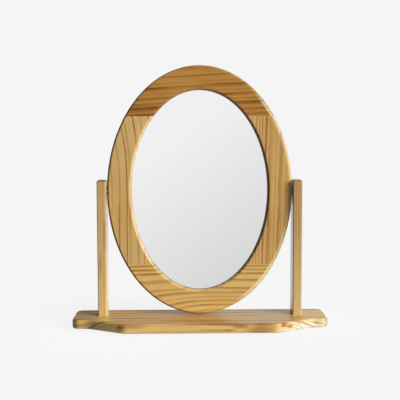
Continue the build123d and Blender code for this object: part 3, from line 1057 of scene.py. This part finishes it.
@dataclass
class PhotoCamera:
    """The camera at the photograph's place.

    Attributes:
        place: Where it stands, in mm.
        pitch: How far it looks down, in degrees.
        yaw: How far it looks to the right, in degrees.
        roll: How far it leans, in degrees.
        lens: Focal length, in mm.
        sensor: Width of the sensor, in mm.
    """

    place: tuple[float, float, float] = (-30.5, -1733.0, 401.3)
    pitch: float = 4.666
    yaw: float = 1.023
    roll: float = -0.168
    lens: float = 77.14
    sensor: float = 36.0

    def build(self) -> None:
        """Sets up the camera and makes it the scene's own."""
        pitch, yaw, roll = (math.radians(angle) for angle in (self.pitch, self.yaw, self.roll))
        ahead = Vector((math.sin(yaw) * math.cos(pitch), math.cos(yaw) * math.cos(pitch), -math.sin(pitch)))
        level = Vector((math.cos(yaw), -math.sin(yaw), 0.0))
        upright = level.cross(ahead)
        right = math.cos(roll) * level + math.sin(roll) * upright
        up = math.cos(roll) * upright - math.sin(roll) * level
        data = bpy.data.cameras.new("photo_camera")
        data.lens = self.lens
        data.sensor_width = self.sensor
        camera = bpy.data.objects.new("photo_camera", data)
        bpy.context.scene.collection.objects.link(camera)
        turn = Matrix((right, up, -ahead)).transposed().to_4x4()
        camera.matrix_world = Matrix.Translation(Vector(self.place) * MM) @ turn
        bpy.context.scene.camera = camera


@dataclass(frozen=True)
class Lamp:
    """A soft and distant studio lamp.

    Attributes:
        name: Its name.
        aside: How far to the right of the front it stands, in degrees.
        above: How high it stands, in degrees.
        breadth: How wide it looks from the object, in degrees.
        level: Its light, as a share of the level at which a colour looks as it is written.
    """

    name: str
    aside: float
    above: float
    breadth: float
    level: float

    def toward(self) -> Vector:
        """Returns the way from the object to the lamp."""
        aside, above = math.radians(self.aside), math.radians(self.above)
        flat = math.cos(above)
        return Vector((math.sin(aside) * flat, -math.cos(aside) * flat, math.sin(above)))

    def build(self) -> None:
        """Hangs the lamp, whose glow in gloss comes from the surroundings."""
        data = bpy.data.lights.new(self.name, "SUN")
        data.angle = math.radians(self.breadth)
        data.energy = self.level * math.pi
        light = bpy.data.objects.new(self.name, data)
        light.rotation_euler = self.toward().to_track_quat("Z", "Y").to_euler()
        light.visible_glossy = False
        bpy.context.scene.collection.objects.link(light)


# Light of the surroundings. Four numbers are the start and end of a range, and the levels there.
SIDE_LIGHT = (-0.5, 0.6, 0.05, 0.22)
TOP_LIGHT = (0.0, 0.9, 1.0, 0.4)
REAR_LIGHT = (0.1, 0.8, 0.0, 0.9)
REAR_SIDE_LIGHT = (-0.6, 0.0, 0.7, 1.0)
KEY_SPILL = (0.75, 0.95, 0.0, 8.0)
KEY_GLINT = (0.86, 0.97, 0.0, 3.0)
SIDE_DIM = (-0.6, -0.15, 0.1, 1.0)
TOP_DIM = (0.15, 0.7, 1.0, 0.3)
REAR_SHEEN = (-0.14, 0.12, 0.12, 0.71)
TURN_REAR = (-0.2, 0.2, 0.0, 1.0)
FLOOR_REAR = (0.1, 0.4, 0.0, 1.0)
FLOOR_SIDES = (-0.5, 0.5)
FLOOR_SHADOW = (0.22, 0.5)
REAR_IN_GLASS = 0.85
HALF_BOUNCE = 0.5
LEAST_WAY = 0.05
FADE_LEVEL = 0.915
FADE_UP = 0.95
FADE_RIGHT = -0.7
FADE_LEAST = 0.6


@dataclass
class Studio:
    """Plain pale floor, backdrop and soft light.

    Attributes:
        backdrop: Colour of the background.
        bounce: Light that the floor throws back at the object, on the left and on the right.
        eye: Where the viewer seems to stand in the mirror, in metres.
        floor_reach: Half the width of the floor, in metres.
        floor_lit: Brightness that the lamps give the bare floor.
        shadow_share: Share of that brightness that a shadow takes away.
        lamps: The lamps, the main one first.
    """

    backdrop: Shade = Shade(245, 245, 245)
    bounce: tuple[float, float] = (0.1, 0.32)
    eye: tuple[float, float, float] = (-0.03, 1.785, 0.401)
    floor_reach: float = 8.0
    floor_lit: float = 0.55
    shadow_share: float = 0.18
    lamps: tuple[Lamp, ...] = (
        Lamp("key_lamp", aside=54.0, above=13.0, breadth=34.0, level=1.24),
        Lamp("fill_lamp", aside=36.0, above=55.0, breadth=50.0, level=0.2),
    )

    def build(self) -> None:
        """Sets up the world, the floor and the lamps."""
        bpy.context.scene.view_settings.view_transform = "Standard"
        self.build_world()
        self.build_floor()
        for lamp in self.lamps:
            lamp.build()

    def fade(self, bench: NodeBench, sideways: Feed, upward: Feed, onward: Feed) -> NodeSocket:
        """Grades the pale surroundings in front, which are brightest high up and to the left.

        Args:
            bench: Where the nodes go.
            sideways: Way to the right of the line of sight.
            upward: Way above it.
            onward: Way along it.

        Returns:
            The brightness, up to that of the backdrop.
        """
        rise = bench.math("DIVIDE", upward, onward)
        drift = bench.math("DIVIDE", sideways, onward)
        level = bench.math("MULTIPLY_ADD", rise, FADE_UP, FADE_LEVEL)
        level = bench.math("MULTIPLY_ADD", drift, FADE_RIGHT, level)
        return bench.math("MAXIMUM", bench.math("MINIMUM", level, self.backdrop.light()[0]), FADE_LEAST)

    def shiny(self, bench: NodeBench, path: Sockets) -> NodeSocket:
        """Returns one for light that gloss and glass show before a matt surface scatters it, else zero."""
        smooth = bench.math("MAXIMUM", path["Is Glossy Ray"], path["Is Transmission Ray"])
        return bench.times(smooth, bench.math("LESS_THAN", path["Diffuse Depth"], HALF_BOUNCE))

    def build_world(self) -> None:
        """Sets up the pale surroundings: their dim light, and what the camera, gloss and glass see."""
        world = bpy.data.worlds.new("studio")
        world.use_nodes = True
        world.node_tree.nodes.clear()
        bpy.context.scene.world = world
        bench = NodeBench(world.node_tree)
        path = bench.add("ShaderNodeLightPath").outputs
        way = bench.add("ShaderNodeTexCoord").outputs["Generated"]
        near_key = bench.vector("DOT_PRODUCT", way, self.lamps[0].toward())
        ambient = self.ambient(bench, path, way, near_key)
        mirrored = self.mirrored(bench, path, way, near_key)
        strength = bench.mix(self.shiny(bench, path), ambient, mirrored)
        strength = bench.mix(path["Is Camera Ray"], strength, self.backdrop.light()[0])
        sky = bench.add("ShaderNodeBackground", {"Color": WHITE, "Strength": strength})
        bench.add("ShaderNodeOutputWorld", {"Surface": sky.outputs[0]})

    def ambient(self, bench: NodeBench, path: Sockets, way: Feed, near_key: Feed) -> NodeSocket:
        """Grades the light that the surroundings throw on the object, dimmer from the left and above.

        Args:
            bench: Where the nodes go.
            path: What the light has passed.
            way: Where the light comes from.
            near_key: How near that is to the main lamp.

        Returns:
            The level of the light.
        """
        sideways, onward, upward = bench.parts(way)
        light = bench.times(bench.spread(sideways, *SIDE_LIGHT), bench.spread(upward, *TOP_LIGHT))
        rear = bench.times(bench.spread(onward, *REAR_LIGHT), bench.spread(sideways, *REAR_SIDE_LIGHT))
        light = bench.math("ADD", light, rear)
        scattered = bench.math("GREATER_THAN", path["Diffuse Depth"], HALF_BOUNCE)
        caught = bench.times(path["Is Glossy Ray"], scattered)
        return bench.math("MULTIPLY_ADD", caught, bench.spread(near_key, *KEY_SPILL), light)

    def mirrored(self, bench: NodeBench, path: Sockets, way: Feed, near_key: Feed) -> NodeSocket:
        """Grades what gloss and glass show: dimmer to the left and overhead in gloss, pale in glass.

        Args:
            bench: Where the nodes go.
            path: What the light has passed.
            way: Where the light comes from.
            near_key: How near that is to the main lamp.

        Returns:
            The level that shows.
        """
        sideways, onward, upward = bench.parts(way)
        in_glass = path["Is Singular Ray"]
        nearer = bench.math("MAXIMUM", bench.times(onward, -1.0), LEAST_WAY)
        dim = bench.times(bench.spread(sideways, *SIDE_DIM), bench.spread(upward, *TOP_DIM))
        dim = bench.math("MAXIMUM", dim, in_glass)
        front = bench.times(self.fade(bench, sideways, upward, nearer), dim)
        rear = bench.spread(sideways, *REAR_SHEEN)
        rear = bench.math("MAXIMUM", rear, bench.times(in_glass, REAR_IN_GLASS))
        shown = bench.mix(bench.spread(onward, *TURN_REAR), front, rear)
        glint = bench.times(bench.spread(near_key, *KEY_GLINT), bench.rest(in_glass))
        return bench.math("ADD", shown, glint)

    def build_floor(self) -> None:
        """Lays the floor that the pads stand on."""
        shape = bmesh.new()
        bmesh.ops.create_grid(shape, x_segments=1, y_segments=1, size=self.floor_reach)
        floor = add_piece("floor", shape, self.floor_material())

    def floor_material(self) -> Material:
        """Builds the floor's pale finish, which keeps the object's shadow and is clear from below.

        Returns:
            The material.
        """
        bench, end, material = open_material("pale_floor")
        path = bench.add("ShaderNodeLightPath").outputs
        place = bench.add("ShaderNodeTexCoord").outputs["Object"]
        parts = bench.parts(place)
        pale = self.backdrop.light()
        thrown = bench.emission(bench.spread(parts["X"], *FLOOR_SIDES, *self.bounce))
        share = bench.spread(bench.vector("LENGTH", place), *FLOOR_SHADOW, self.shadow_share, 0.0)
        glow = bench.emission(bench.math("MULTIPLY_ADD", share, -self.floor_lit, pale[0]))
        shaded = bench.blend(1.0, pale, bench.grey(share), "MULTIPLY")
        matt = bench.add("ShaderNodeBsdfDiffuse", {"Color": shaded}).outputs[0]
        seen = bench.add("ShaderNodeAddShader", {0: glow, 1: matt}).outputs[0]
        across, back, high = self.eye
        sideways = bench.math("SUBTRACT", parts["X"], across)
        onward = bench.math("MAXIMUM", bench.math("SUBTRACT", back, parts["Y"]), LEAST_WAY)
        sheen = self.fade(bench, sideways, -high, onward)
        sheen = bench.mix(bench.spread(parts["Y"], *FLOOR_REAR), sheen, pale[0])
        look = bench.either(self.shiny(bench, path), thrown, bench.emission(sheen))
        look = bench.either(path["Is Camera Ray"], look, seen)
        below = bench.add("ShaderNodeNewGeometry").outputs["Backfacing"]
        clear = bench.add("ShaderNodeBsdfTransparent").outputs[0]
        bench.feed(bench.either(below, look, clear), end.inputs["Surface"])
        return material


def main() -> None:
    """Dresses the mirror and sets up its studio."""
    logging.basicConfig(level=logging.INFO, format="%(message)s")
    effects = TimberEffects()
    stand = Stand(effects)
    stand.build()
    for assembly in (stand, SwingFrame(effects), Glazing(), Hardware()):
        assembly.dress()
    PhotoCamera().build()
    Studio().build()


if __name__ == "__main__":
    main()
